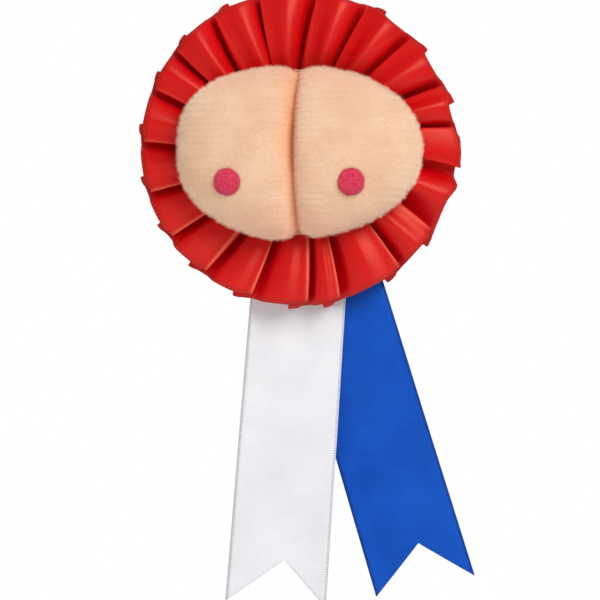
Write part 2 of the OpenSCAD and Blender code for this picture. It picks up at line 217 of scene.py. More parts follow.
def add(tree, kind, sockets=None, **settings):
    """A shader node; a socket is linked where an output is given and set where a value is."""
    node = tree.nodes.new("ShaderNode" + kind)
    for key, value in settings.items():
        setattr(node, key, value)
    for key, value in (sockets or {}).items():
        if isinstance(value, bpy.types.NodeSocket):
            tree.links.new(value, node.inputs[key])
        else:
            node.inputs[key].default_value = value
    return node


def mix(tree, share, first, second):
    """Colour between first and second; each is a colour or an output."""
    node = add(tree, "Mix", {0: share, 6: first, 7: second}, data_type="RGBA")
    return node.outputs[2]


def sums(tree, operation, first, second=0.0):
    """One arithmetic step on two numbers."""
    return add(tree, "Math", {0: first, 1: second}, operation=operation).outputs[0]


def times(tree, first, second):
    """The product of two numbers."""
    return sums(tree, "MULTIPLY", first, second)


def ramp(tree, value, low, high, out_low=0.0, out_high=1.0):
    """A number carried from one range to another and held inside it."""
    sockets = {"Value": value, "From Min": low, "From Max": high,
               "To Min": out_low, "To Max": out_high}
    return add(tree, "MapRange", sockets, interpolation_type="SMOOTHSTEP").outputs[0]


def object_place(tree):
    """Where a point is on the object, in metres."""
    return add(tree, "TexCoord").outputs["Object"]


def clouds(tree, vector, scale, detail, roughness=0.5):
    """Soft random patches; a larger scale makes smaller ones."""
    sockets = {"Vector": vector, "Scale": scale, "Detail": detail, "Roughness": roughness}
    return add(tree, "TexNoise", sockets).outputs["Fac"]


WAVE_TURN = 2 * math.pi / 20


def stripes(tree, vector, pitch, direction, wander=0.0):
    """Even stripes at a pitch, in the unit of the vector."""
    sockets = {"Vector": vector, "Scale": WAVE_TURN / pitch, "Distortion": wander,
               "Detail Scale": 0.5}
    return add(tree, "TexWave", sockets, bands_direction=direction).outputs["Fac"]


def bump(tree, surface, height, depth, strength=1.0):
    """Relief of the given depth in metres."""
    node = add(tree, "Bump", {"Height": height, "Distance": depth, "Strength": strength})
    tree.links.new(node.outputs[0], surface.inputs["Normal"])


# %% [markdown]
# ## Satin
# Satin ribbon shows long floating threads: fine lines along the ribbon, faint diagonal steps
# where the floats are tied down, and a woven edge on each side that reads as a row of pale
# dashes. A texture on the cloth's own flat coordinates keeps those lines running with the ribbon
# through every fold, which object coordinates could not do. The ribbon's UV map holds the flat
# cut from 0 to 1, and the material stretches it back to millimetres.

# %% Selvedge marks
EDGE_BAND = (0.3, 1.1)
EDGE_BLUR = 0.2
DASH_PITCH = 0.95


def selvedge(tree, flat, width):
    """1 on the dashes of the woven edges and 0 elsewhere; flat is in millimetres."""
    across = add(tree, "SeparateXYZ", {"Vector": flat}).outputs["Y"]
    edge = sums(tree, "MINIMUM", across, sums(tree, "SUBTRACT", width, across))
    inner = ramp(tree, edge, EDGE_BAND[1], EDGE_BAND[1] - EDGE_BLUR)
    outer = ramp(tree, edge, EDGE_BAND[0] - EDGE_BLUR, EDGE_BAND[0])
    dashes = ramp(tree, stripes(tree, flat, DASH_PITCH, "X"), 0.4, 0.7)
    return times(tree, times(tree, inner, outer), dashes)


# %% Weave
FLOAT_PITCH = 0.95
TWILL_PITCH = 0.8
WEFT_PITCH = 0.9


def satin_weave(tree, flat, twill_share, cross):
    """Height of the weave: floats along, steps at a slant and threads across the ribbon."""
    warp = times(tree, stripes(tree, flat, FLOAT_PITCH, "Y", 1.2), 0.3)
    weft = times(tree, stripes(tree, flat, WEFT_PITCH, "X", 0.6), cross)
    twill = times(tree, stripes(tree, flat, TWILL_PITCH, "DIAGONAL", 0.4), twill_share)
    return sums(tree, "ADD", sums(tree, "ADD", warp, weft), twill)


# %% Satin material
RIDGE_WEAR_AND_HIGHLIGHT_SHARE = 0.75


def satin(name, shades, flat_mm, gloss, dash_share, relief, twill_share, cross=0.0):
    """Satin with a dashed selvedge; shades are its deep, bright and dash colours.

    flat_mm is the cut's length and width. twill_share and cross are how much the steps and the
    threads across the ribbon show. Where a fold is marked, the colour turns to the dash colour: a
    painted highlight along the fold ridge, with a little real wear.
    """
    deep, bright, dash_and_highlight = shades
    material, tree, surface = start_material(name, gloss, IOR=1.5, Sheen_Weight=0.03)
    cut = add(tree, "UVMap", uv_map="ribbon").outputs[0]
    flat = add(tree, "Mapping", {"Vector": cut, "Scale": (*flat_mm, 1)}).outputs[0]
    marks = selvedge(tree, flat, flat_mm[1])
    weave = satin_weave(tree, flat, twill_share, cross)
    cloudy = times(tree, clouds(tree, object_place(tree), 55.0, 4.0), 0.8)
    shade = sums(tree, "ADD", times(tree, weave, 0.5), cloudy)
    plain = mix(tree, ramp(tree, shade, 0.2, 0.9), deep, bright)
    marked = mix(tree, times(tree, marks, dash_share), plain, dash_and_highlight)
    # The fold marks turn the colour towards the dash colour: a painted highlight on the fold ridges,
    # with a little real wear.
    ridge_wear_and_highlight = add(tree, "Attribute", attribute_name="fold_wear_and_highlight").outputs["Fac"]
    lit_and_worn_ridges = mix(tree, times(tree, ridge_wear_and_highlight, RIDGE_WEAR_AND_HIGHLIGHT_SHARE), marked, dash_and_highlight)
    tree.links.new(lit_and_worn_ridges, surface.inputs["Base Color"])
    rough = ramp(tree, weave, 0.0, 0.55, gloss + 0.06, gloss - 0.04)
    tree.links.new(rough, surface.inputs["Roughness"])
    bump(tree, surface, sums(tree, "ADD", weave, times(tree, marks, 1.6)), relief)
    print(name, "on a cut of", [round(side, 1) for side in flat_mm], "mm")
    return material


# %% [markdown]
# ## Laying a ribbon
# A ribbon never stretches much, so the honest way to model one is to start with the flat cut and
# carry it into place. create_grid gives the flat ribbon, its UV map keeps where each point was,
# and the points then move to where the fold or the hang puts them. Sculpting a solid instead
# would lose the flat coordinates that the weave needs. Solidify gives it the cloth's thickness.

# %% Ribbon from a flat cut
CLOTH = 0.25 * MM


def lay_ribbon(name, places, cut, fold_wear_and_highlight=None):
    """A ribbon whose grid point (row, column) goes to places and was cut from cut (0 to 1).

    The last argument says for each column how much a sharp fold is lightened, from 0 to 1: a painted
    highlight on the fold ridge, with a little real wear.
    """
    rows, columns = places.shape[0] - 1, places.shape[1] - 1
    bm = bmesh.new()
    ribbon_map = bm.loops.layers.uv.new("ribbon")
    # A layer for the fold marks: a painted highlight on the ridges, with a little real wear.
    lit_and_worn_ridges = bm.verts.layers.float.new("fold_wear_and_highlight")
    bmesh.ops.create_grid(bm, x_segments=columns, y_segments=rows, size=0.5)
    spot = {v: (round((v.co.y + 0.5) * rows), round((v.co.x + 0.5) * columns)) for v in bm.verts}
    for face in bm.faces:
        for loop in face.loops:
            loop[ribbon_map].uv = cut[spot[loop.vert]]
    for vertex, (row, column) in spot.items():
        vertex.co = places[row, column]
        vertex[lit_and_worn_ridges] = 0 if fold_wear_and_highlight is None else fold_wear_and_highlight[column]
    bmesh.ops.remove_doubles(bm, verts=bm.verts, dist=0.01 * MM)
    piece = make_piece(bm, name)
    wall = piece.modifiers.new("cloth", "SOLIDIFY")
    wall.thickness = CLOTH
    wall.offset = 0
    return piece


# %% [markdown]
# ## The pleated ruffle
# One long ribbon goes round the card in knife pleats. Each pleat has a crisp fold on top, a panel
# that runs clockwise and dips under the next fold, a hidden fold beneath it, and a return layer
# that climbs back up. A radial array of one pleat would look moulded, because a maker's hand
# never repeats itself. So each pleat gets its own few key points at the stitched edge and at the
# outer edge, and one smooth curve runs through all of them.

# %% Ruffle sizes, in millimetres
BASE = -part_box("pleated_ruffle")[1].y / MM
RIBBON_W = 38.5
ROOT_R = 24.0  # radius of the stitched edge
FOLD_R = 58.8  # radius of the rim on a fold, on a panel and in a tuck
PANEL_R = 60.7
TUCK_R = 61.7
FOLD_H = 9.0  # height of a fold at the rim and at the stitched edge
ROOT_H = 3.3
TUCK = 8.0  # how far a panel runs under the next fold, at the rim and at the stitched edge
TUCK_ROOT = 13.0
BEND = 0.42  # radius of a pressed fold
FOLDS = [178, 158, 142, 123, 105, 83, 64, 44, 23, 7, -32, -50, -75, -87, -108, -127, -145, -163]
BOX_FOLD = 7  # the fold whose panel folds back under itself, and that panel's width
BOX_W = 15.5
LIVELY_AT = 62  # angle at which the pleats bulge most
random.seed(7)
print("ruffle of", len(FOLDS), "pleats on a base at", round(BASE, 2), "mm")


def liveliness(angle):
    """How much a pleat bulges: most near the top right, least at the bottom left."""
    return 0.5 + 0.5 * math.cos(math.radians(angle - LIVELY_AT))


# %% Key points of one pleat
def pleat_keys(angle, gap, high, next_high, turn):
    """(arc past the fold, radius, height) at the root and at the rim for each key of a pleat."""
    lively = liveliness(angle)
    lift = 0.2 + 3.6 * lively + random.uniform(-0.7, 0.7) * (0.3 + lively)
    rim = math.radians(gap) * FOLD_R
    root = math.radians(gap + turn) * ROOT_R
    end, root_end = rim + TUCK, root + TUCK_ROOT
    crest = 0.42 + 0.08 * lively + random.uniform(-0.05, 0.05)
    bulge_r = PANEL_R - 0.4 - 2.0 * lively
    shoulder_h = next_high - 1.2 + (high + lift - next_high - 1.0) * lively

    def fallen(share):
        """Height at the stitched edge after a share of the way to the next fold."""
        return ROOT_H * (1 - 0.9 * share * root / root_end)

    start = [(0.1, ROOT_R, ROOT_H, 0.25, FOLD_R, high)]
    middle = [
        (0.2 * root, ROOT_R, fallen(0.2), 0.2 * rim, FOLD_R + 1.0, high + 0.3 * lift),
        (0.5 * root, ROOT_R, fallen(0.5), crest * rim, bulge_r, high + lift),
        (0.75 * root, ROOT_R, fallen(0.75), 0.8 * rim, bulge_r + 0.3, shoulder_h),
        (0.95 * root, ROOT_R, fallen(0.95), 0.97 * rim, PANEL_R - 0.6, next_high - 4.4),
    ]
    if angle == BOX_FOLD:
        middle = box_keys(high) + middle[-1:]
    tuck = [
        (root_end - BEND, ROOT_R, 0.3, end - BEND, TUCK_R, 0.6),
        (root_end, ROOT_R, 0.3 + BEND, end, TUCK_R, 0.6 + BEND),
        (root_end - BEND, ROOT_R, 0.3 + 2 * BEND, end - BEND, TUCK_R, 0.6 + 2 * BEND),
        (root + TUCK_ROOT / 2, ROOT_R, 0.55 * ROOT_H,
         rim + TUCK / 2, TUCK_R - 0.8, 0.56 * next_high),
        (root + 0.6, ROOT_R, ROOT_H - BEND, rim + 0.8, FOLD_R, next_high - 2 * BEND),
        (root - 0.1, ROOT_R, ROOT_H - BEND / 2, rim - 0.15, FOLD_R, next_high - BEND),
    ]
    steps = [7] + [6] * len(middle) + [2, 2, 5, 4, 2, 2]
    return start + middle + tuck, steps


def box_keys(high):
    """The one panel that folds back under itself at both edges before the next one starts."""
    far = BOX_W
    near = far * ROOT_R / FOLD_R
    back = 4.5

    def fallen(share):
        return ROOT_H * (1 - 0.9 * share)

    return [
        (0.5 * near, ROOT_R, fallen(0.1), 0.5 * far, PANEL_R + 0.3, high + 0.5),
        (near - 0.2, ROOT_R, fallen(0.15), far - 0.3, PANEL_R + 0.8, high + 0.1),
        (near, ROOT_R, fallen(0.15) - BEND / 2, far + 0.1, PANEL_R + 0.8, high - BEND),
        (near - 0.6, ROOT_R, fallen(0.2) - BEND, far - 0.8, PANEL_R + 0.6, high - 2 * BEND),
        (near - back / 2, ROOT_R, fallen(0.3), far - back, PANEL_R, high - 3.2),
        (near - back / 2 - 0.3, ROOT_R, fallen(0.3) - BEND / 2,
         far - back - BEND, PANEL_R, high - 3.7),
        (near - back / 2, ROOT_R, fallen(0.35) - BEND, far - back, PANEL_R, high - 4.2),
        (near + 1.2, ROOT_R, fallen(0.45), far + 2.6, PANEL_R - 0.9, high - 4.4),
        (near + 3.0, ROOT_R, fallen(0.5), far + 7.4, PANEL_R + 1.1, high - 1.6),
        (near + 5.5, ROOT_R, fallen(0.6), far + 12.5, PANEL_R - 1.2, high + 0.4),
    ]


# %% Keys of the whole round
def gather_keys():
    """Every key as its root's angle, arc, radius and height, then the same for its rim."""
    count = len(FOLDS)
    highs = [FOLD_H + random.uniform(-0.8, 0.8) for _ in FOLDS]
    turns = [random.uniform(1.5, 5.5) for _ in FOLDS]
    keys, steps, starts = [], [], []
    for i, angle in enumerate(FOLDS):
        starts.append(sum(steps))
        after = (i + 1) % count
        gap = (angle - FOLDS[after]) % 360
        turn = turns[after] - turns[i]
        found, found_steps = pleat_keys(angle, gap, highs[i], highs[after], turn)
        for key in found:
            wobble = random.uniform(-0.2, 0.2)
            keys.append((angle + turns[i], *key[:3], angle, key[3], key[4] + wobble, key[5]))
        steps += found_steps
    return np.array(keys), steps, starts


def smooth_loop(keys, steps):
    """Points on a closed centripetal Catmull-Rom curve, steps[i] of them from key i on."""
    before, after, beyond = np.roll(keys, 1, 0), np.roll(keys, -1, 0), np.roll(keys, -2, 0)

    def apart(first, second):
        return np.sqrt(np.linalg.norm(second - first, axis=1))

    index = np.repeat(np.arange(len(keys)), steps)
    share = np.concatenate([np.arange(n) / n for n in steps])
    k1 = apart(before, keys)[index]
    k2 = k1 + apart(keys, after)[index]
    k3 = k2 + apart(after, beyond)[index]
    k = (k1 + (k2 - k1) * share)[:, None]
    p0, p1, p2, p3 = before[index], keys[index], after[index], beyond[index]
    k1, k2, k3 = k1[:, None], k2[:, None], k3[:, None]
    a1 = (k1 - k) / k1 * p0 + k / k1 * p1
    a2 = (k2 - k) / (k2 - k1) * p1 + (k - k1) / (k2 - k1) * p2
    a3 = (k3 - k) / (k3 - k2) * p2 + (k - k2) / (k3 - k2) * p3
    b1 = (k2 - k) / k2 * a1 + k / k2 * a2
    b2 = (k3 - k) / (k3 - k1) * a2 + (k - k1) / (k3 - k1) * a3
    return (k2 - k) / (k2 - k1) * b1 + (k - k1) / (k2 - k1) * b2


# %% Ruffle
ROWS = 14
ARCH = 3.7  # how steeply a fold climbs out of the stitched edge
CREASE_W = 0.42
keys, steps, starts = gather_keys()
rows = []
for row in range(ROWS + 1):
    t = row / ROWS
    reach = keys[:, 2] + (keys[:, 6] - keys[:, 2]) * t
    arc = keys[:, 1] + (keys[:, 5] - keys[:, 1]) * t
    tall = keys[:, 3] + (keys[:, 7] - keys[:, 3]) * t * (ARCH - (ARCH - 1) * t)
    turn = np.radians(keys[:, 0] + (keys[:, 4] - keys[:, 0]) * t) - arc / reach
    curve = np.stack([reach * np.cos(turn), -BASE - tall, reach * np.sin(turn)], 1)
    loop = smooth_loop(curve, steps)
    rows.append(np.concatenate([loop, loop[:1]]))
places = np.array(rows) * MM
legs = np.linalg.norm(np.diff(places[ROWS // 2], axis=0), axis=1)
run = np.concatenate([[0], np.cumsum(legs)])
ruffle_length = run[-1]
print("ribbon in the ruffle:", round(ruffle_length, 3), "m")

# %% Painted highlights on the fold ridges, and the laid ruffle
FAINTEST_RIDGE_AT = 75  # angle at which the painted highlight on the folds is faintest, and the real wear that is left there
LEAST_WEAR = 0.1
# Each fold's ridge is lightened in the colour: a painted highlight, strongest on the lower folds, on
# top of a little real wear on every fold.
fold_wear_and_highlight = np.zeros(len(run))
for angle, start in zip(FOLDS, starts):
    low = 0.5 - 0.5 * math.cos(math.radians(angle - FAINTEST_RIDGE_AT))
    near = np.abs(run - run[start])
    near = np.minimum(near, ruffle_length - near) / MM
    fold_wear_and_highlight += (LEAST_WEAR + 0.9 * low ** 3) * np.exp(-((near / CREASE_W) ** 2))
cut = np.array([[(along / ruffle_length, row / ROWS) for along in run] for row in range(ROWS + 1)])
ruffle = lay_ribbon("ruffle_ribbon", places, cut, fold_wear_and_highlight)

# %% [markdown]
# ## Red satin
# A plain gloss puts a round highlight on a fold. The long floats of satin smear it across the
# ribbon instead, so the shader is made anisotropic, with its tangent taken from the ribbon's own
# flat coordinates. The highlight is tinted, because a strong dye colours what satin mirrors.

# %% Ruffle's satin and its place in the model
# The third colour is that of the selvedge dashes, and also the painted highlight on the fold ridges.
RED = ((0.62, 0.0002, 0.003, 1), (0.80, 0.001, 0.006, 1), (0.95, 0.20, 0.11, 1))
ruffle_mm = (ruffle_length / MM, RIBBON_W)
red_satin = satin("red_satin", RED, ruffle_mm, 0.43, 0.22, 0.09 * MM, 0.05)
red_tree = red_satin.node_tree
red_shader = red_tree.nodes["Principled BSDF"]
floats_way = add(red_tree, "Tangent", direction_type="UV_MAP", uv_map="ribbon").outputs[0]
red_tree.links.new(floats_way, red_shader.inputs["Tangent"])
set_sockets(red_shader, Anisotropic=0.75, Anisotropic_Rotation=0.25, Specular_IOR_Level=0.85,
            Specular_Tint=(1, 0.48, 0.34, 1), Sheen_Tint=(1, 0.35, 0.25, 1))
ruffle.data.materials.append(red_satin)
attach(ruffle, "rosette")
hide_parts("pleated_ruffle")

# %% [markdown]
# ## The two tails
# Each tail is one ribbon, stapled between the card and the back disc, with a swallow-tail cut.
# The model splits it where it bends over the ruffle's rim, and the joint there lets the model's
# tail lift. One sheet is laid straight down over both halves, and its waves only start past the
# joint. It is pinched at the staple and so lies a little narrower there, and it hangs with a
# slight wave.

# %% Tail ribbon
TAIL_W = 38 * MM
TAIL_HEAD = 12 * MM
NOTCH = 17 * MM
CUT_RUN = 45 * MM  # the stretch of grid that is drawn up into the notch
PINCHED_W = 0.942  # width at the staple and what it gains by the tips, as shares of TAIL_W
WIDENS = 0.075
WAVE_H = 1.6 * MM
CUP_H = 0.9 * MM
SLACKENS = 0.25  # share of the length over which the waves grow
TAIL_ROWS = 18
TAIL_COLUMNS = 120
staple_low, staple_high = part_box("tail_staple")
staple = (staple_low + staple_high) / 2


def tail_line(joint_name, node):
    """Root at the staple, direction down the tail, direction across it, and its length."""
    bend = Vector(joints[joint_name]["pos_m"])
    across = Vector(joints[joint_name]["axis"])
    across *= math.copysign(1, across.x)
    down = across.cross(Vector((0, -1, 0)))
    down *= -math.copysign(1, down.z)
    root = bend - down * (bend - Vector((staple.x, bend.y, staple.z))).dot(down)
    tip_drop = root.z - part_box(node)[0].z - abs(across.z) * TAIL_W / 2
    return root, down, across, tip_drop / -down.z, bend


def hang_tail(name, joint_name, top, node, forward, waves, apex, skew):
    """The tail's ribbon and its cut's length and width in millimetres.

    forward is -1 or 1 for the side of its flat line that it waves to. apex is where across the
    ribbon the notch ends, from -1 to 1; skew makes one tip longer.
    """
    root, down, across, length, bend = tail_line(joint_name, node)
    free = (bend - root).dot(down)
    places = np.zeros((TAIL_ROWS + 1, TAIL_COLUMNS + 1, 3))
    cut = np.zeros((TAIL_ROWS + 1, TAIL_COLUMNS + 1, 2))
    for row in range(TAIL_ROWS + 1):
        side = 2 * row / TAIL_ROWS - 1
        for column in range(TAIL_COLUMNS + 1):
            s = -TAIL_HEAD + (length + TAIL_HEAD) * column / TAIL_COLUMNS
            near_cut = max(0, (s - length + CUT_RUN) / CUT_RUN)
            notched = 1 - abs(side - apex) / (1 - apex * math.copysign(1, side - apex))
            s += (skew * side - NOTCH * notched) * near_cut
            width = TAIL_W * (PINCHED_W + WIDENS * max(0, s) / length)
            loose = min(1, max(0, (s - free) / (SLACKENS * length)))
            wave = 0.5 - 0.5 * math.cos(waves * 2 * math.pi * max(0, s - free) / (length - free))
            out = loose * (WAVE_H * wave + CUP_H * side * side)
            spot = root + down * s + across * (side * width / 2) - Vector((0, forward * out, 0))
            places[row, column] = spot
            cut[row, column] = ((s + TAIL_HEAD) / (length + TAIL_HEAD), row / TAIL_ROWS)
    piece = lay_ribbon(name, places, cut)
    flat = (TAIL_W, length + TAIL_HEAD)
    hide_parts(top, node)
    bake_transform(piece)
    print(name, "is", round(flat[1] / MM, 1), "mm long")
    return piece, (flat[1] / MM, flat[0] / MM)


# %% White and blue tails
APEX = 1 / 9
white_ribbon, white_mm = hang_tail(
    "white_ribbon", "white_tail_lift", "white_tail_top", "white_tail", 1, 1.3, APEX, 0)
blue_ribbon, blue_mm = hang_tail(
    "blue_ribbon", "blue_tail_swing", "blue_tail_top", "blue_tail", -1, 1.1, APEX, 1.6 * MM)

# %% White and blue satin
WHITE = ((0.82, 0.81, 0.84, 1), (0.93, 0.92, 0.95, 1), (0.5, 0.5, 0.53, 1))
BLUE = ((0.003, 0.055, 0.42, 1), (0.006, 0.105, 0.62, 1), (0.001, 0.02, 0.2, 1))
white_satin = satin("white_satin", WHITE, white_mm, 0.42, 0.75, 0.05 * MM, 0.04, 0.3)
set_sockets(white_satin.node_tree.nodes["Principled BSDF"], Specular_IOR_Level=0.3)
blue_satin = satin("blue_satin", BLUE, blue_mm, 0.40, 0.8, 0.07 * MM, 0.3)
set_sockets(blue_satin.node_tree.nodes["Principled BSDF"], Specular_Tint=(0.25, 0.6, 1, 1))
white_ribbon.data.materials.append(white_satin)
blue_ribbon.data.materials.append(blue_satin)

# %% [markdown]
# ## The pad
# The pad is a knit bag of wadding, cinched down the middle by a thread, so that it swells into
# two lobes. Two spheres pushed together would show a straight seam and no boss behind. Here one
# sphere is reshaped into the sewn form, a boss for the hole of the ruffle is joined to it by a
# voxel remesh, and cloth pressure then swells the cover while the cinched line is held.

# %% Pad sizes, in millimetres
pad_low, pad_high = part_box("pad_cover")
PAD_HALF_W = pad_high.x / MM
PAD_MID_Z = (pad_low.z + pad_high.z) / 2 / MM
PAD_HALF_TALL = (pad_high.z - pad_low.z) / 2 / MM
PAD_FRONT = -pad_low.y / MM
PAD_FOOT = -pad_high.y / MM
FRONT_D = 19.0  # depth in front of the widest ring and behind it
REAR_D = 8.0
EQUATOR = PAD_FRONT - FRONT_D
BOSS_R = 22.0
LOBE_MID = 13.5
LOBE_ROUND = (2.0, 2.9)  # how squarely the left and the right lobe roll into the cleft
LEFT_SAG = 1.2  # how far the left lobe sags, and over how wide a band
SAG_W = 14
DIMPLE = 0.075  # how far the outline dips at the cinched line, and over how wide a band
DIMPLE_W = 3.6
CORNERS = {True: (2.6, 2.2), False: (2.3, 2.0)}  # fullness left and right, above and below
CLEFT_FULL = 0.5
CLEFT_BOW = 2.7
CLEFT_X = 0.2
BOW_W = 17  # width of the band of cover that is dragged along with the bow
VOXEL = 1.8 * MM


def cleft_x(z):
    """Where the cinched line runs: it bows to the left between the two notches."""
    share = (z - PAD_MID_Z) / PAD_HALF_TALL
    return CLEFT_X - CLEFT_BOW * max(0.0, 1 - share * share)


def lobe_fullness(x):
    """Share of the full depth at x; the left lobe rolls in more gently than the right one."""
    bend = LOBE_ROUND[x > 0]
    x = abs(x)
    if x < LOBE_MID:
        rise = (1 - (1 - x / LOBE_MID) ** bend) ** (1 / bend)
        return CLEFT_FULL + (1 - CLEFT_FULL) * rise
    return math.sqrt(max(0.0, 1 - ((x - LOBE_MID) / (PAD_HALF_W - LOBE_MID)) ** 2))


def lobe_height(x, upper):
    """Share of the full height of the outline at x; each corner of the pad has its own fullness."""
    full = CORNERS[upper][x > 0]
    wide = max(0.0, 1 - abs(x / PAD_HALF_W) ** full) ** (1 / full)
    return wide * (1 - DIMPLE * math.exp(-((x / DIMPLE_W) ** 2)))


print("pad", [round(side / MM, 1) for side in pad_high - pad_low], "mm")

# %% Sewn form of the pad
def sewn_pad():
    """The pad before it swells, with its boss, as one closed voxel mesh."""
    bm = bmesh.new()
    bmesh.ops.create_uvsphere(bm, u_segments=96, v_segments=72, radius=1)
    bmesh.ops.rotate(bm, verts=bm.verts, matrix=Matrix.Rotation(math.radians(90), 3, "Y"))
    for vertex in bm.verts:
        u = vertex.co.copy()
        x = math.copysign(PAD_HALF_W * u.x * u.x, u.x)
        ring = math.hypot(u.y, u.z) or 1
        deep = FRONT_D if u.y < 0 else REAR_D
        z = PAD_HALF_TALL * lobe_height(x, u.z > 0) * u.z / ring
        if x < 0 and z < 0:
            z -= LEFT_SAG * (z / PAD_HALF_TALL) ** 2 * math.exp(-(((x + LOBE_MID) / SAG_W) ** 2))
        y = -EQUATOR + deep * lobe_fullness(x) * u.y / ring
        slide = (cleft_x(z + PAD_MID_Z) - CLEFT_X) * math.exp(-((x / BOW_W) ** 2))
        vertex.co = Vector((x + slide, y, z + PAD_MID_Z))
    boss_d = EQUATOR - PAD_FOOT
    facing = Matrix.Rotation(math.radians(90), 4, "X")
    spot = Matrix.Translation((0, -PAD_FOOT - boss_d / 2, 0)) @ facing
    bmesh.ops.create_cone(bm, cap_ends=True, segments=64, radius1=BOSS_R, radius2=BOSS_R,
                          depth=boss_d, matrix=spot)
    bmesh.ops.scale(bm, verts=bm.verts, vec=(MM, MM, MM))
    bmesh.ops.recalc_face_normals(bm, faces=bm.faces)
    form = make_piece(bm, "pad_form")
    remesh = form.modifiers.new("voxels", "REMESH")
    remesh.mode = "VOXEL"
    remesh.voxel_size = VOXEL
    return form


def applied(piece):
    """The mesh of a piece with its modifiers applied."""
    bpy.context.view_layer.update()
    graph = bpy.context.evaluated_depsgraph_get()
    return bpy.data.meshes.new_from_object(piece.evaluated_get(graph))


form = sewn_pad()
sewn = applied(form)
bpy.data.objects.remove(form)
print("pad voxels", len(sewn.polygons))

# %% [markdown]
# ## Swelling the cover
# Wadding pushes the cover out everywhere but where thread holds it. Moving points by a formula
# would swell it evenly, so cloth pressure does it: a vertex group pins the cleft and the sewn
# back, and no point may move further than real stuffing would push it. Cloth solves poorly at a
# scale of millimetres, so the bag is made ten times larger for the run.

# %% Cloth pressure on the cover
SIM_SCALE = 10
SIM_FRAMES = 20
SIM_PRESSURE = 18.0
MOST_SWELL = 1.6 * MM
PINNED_W = 2.2  # half width of the pinned band along the cleft
SEWN_BACK = 2  # from this far behind the widest ring, the cover is sewn down


def held(point):
    """1 where the cinch thread or the sewing holds the cover, 0 where it is free."""
    x, z = point.x / MM, point.z / MM
    near = math.exp(-(((x - cleft_x(z)) / PINNED_W) ** 2))
    behind = 1.0 if -point.y / MM < EQUATOR - SEWN_BACK else 0.0
    return max(near, behind)


def swell(mesh):
    """The cover after cloth pressure, each point moved by no more than MOST_SWELL."""
    rest = [v.co.copy() for v in mesh.vertices]
    mesh.transform(Matrix.Scale(SIM_SCALE, 4))
    bag = bpy.data.objects.new("pad_bag", mesh)
    scene.collection.objects.link(bag)
    pins = bag.vertex_groups.new(name="held")
    for i, point in enumerate(rest):
        pins.add([i], held(point), "REPLACE")
    cloth = bag.modifiers.new("cloth", "CLOTH")
    cloth.settings.quality = 6
    cloth.settings.mass = 0.05
    cloth.settings.tension_stiffness = 12
    cloth.settings.compression_stiffness = 12
    cloth.settings.use_pressure = True
    cloth.settings.uniform_pressure_force = SIM_PRESSURE
    cloth.settings.vertex_group_mass = "held"
    cloth.settings.effector_weights.gravity = 0
    cloth.collision_settings.use_collision = False
    for tick in range(1, SIM_FRAMES + 1):
        scene.frame_set(tick)
    swollen = applied(bag)
    scene.frame_set(1)
    furthest = 0.0
    for vertex, old in zip(swollen.vertices, rest):
        move = vertex.co / SIM_SCALE - old
        furthest = max(furthest, move.length)
        if move.length > MOST_SWELL:
            move *= MOST_SWELL / move.length
        vertex.co = old + move
    bpy.data.objects.remove(bag)
    print("furthest swell before the limit, mm:", round(furthest / MM, 2))
    return swollen


sewn = swell(sewn)

# %% [markdown]
# ## Ribs and the cleft
# The remesh wipes out anything narrower than a voxel, so the fine forms come after it: ribs that
# cross the pad, small puckers along the thread, and the cleft itself, which rolls in gently from
# the left and sharply from the right. How deep each point is tucked in is kept as an attribute,
# which the material uses to paint a warm brown shade into the cleft.

# %% Ribs of the knit
RIB_PITCH = 2.45
RIB_HIGH = 0.12
FADE_X = 21  # a band on each lobe is stretched flat: its middle, its width and by how much
FADE_W = 11
FADE = 0.8
PUCKER = 0.10
PUCKER_PITCH = 1.6
PUCKER_W = 5
CLEFT_PULL = 4.9  # how far the thread pulls the cover in
GAPE_Z = 3.0  # height at which the cleft is deepest, and how much deeper it is there
GAPE_W = 14
GAPE = 0.35
LEFT_ROLL = 3.2  # width of the roll into the cleft on each side
RIGHT_ROLL = 0.8


def rib_phase(x, z):
    """Ribs run across the pad and crowd a little towards the cinched line."""
    crowd = 1 - 0.10 * math.exp(-abs(x) / 9)
    return (z - PAD_MID_Z) / crowd / RIB_PITCH + 0.25 * noise.noise((x * 0.05, 0, z * 0.08))


def knit_cover(mesh):
    """The finished cover: subdivided, ribbed on the front and pulled in along the cleft."""
    cover = bpy.data.objects.new("pad_knit", mesh)
    scene.collection.objects.link(cover)
    fine = cover.modifiers.new("fine", "SUBSURF")
    fine.levels = fine.render_levels = 2
    smooth = applied(cover)
    cover.modifiers.clear()
    cover.data = smooth
    normals = [v.normal.copy() for v in smooth.vertices]
    # How deep a point is tucked into the cleft; the material paints a warm shade there with it.
    tucked = smooth.attributes.new("tucked", "FLOAT", "POINT")
    for vertex, normal in zip(smooth.vertices, normals):
        x, h, z = vertex.co.x / MM, -vertex.co.y / MM, vertex.co.z / MM
        front = min(1.0, max(0.0, (h - EQUATOR + 4) / 5))
        off = x - cleft_x(z)
        away = abs(off)
        middle = math.exp(-(((away - FADE_X) / FADE_W) ** 2))
        rib = RIB_HIGH * (1 - FADE * middle) * math.sin(2 * math.pi * rib_phase(x, z))
        pucker = PUCKER * math.sin(2 * math.pi * z / PUCKER_PITCH) * math.exp(-away / PUCKER_W)
        roll = LEFT_ROLL if off < 0 else RIGHT_ROLL
        close = math.exp(-((away / roll) ** 1.3))
        gape = 1 - GAPE + GAPE * math.exp(-(((z - GAPE_Z) / GAPE_W) ** 2))
        tucked.data[vertex.index].value = front * close * gape
        pull = CLEFT_PULL * close * gape
        vertex.co += normal * (rib + pucker) * front * MM + Vector((0, pull * front * MM, 0))
    smooth.polygons.foreach_set("use_smooth", [True] * len(smooth.polygons))
    smooth.update()
    print("pad_knit", len(smooth.polygons), "faces")
    return cover


pad = knit_cover(sewn)

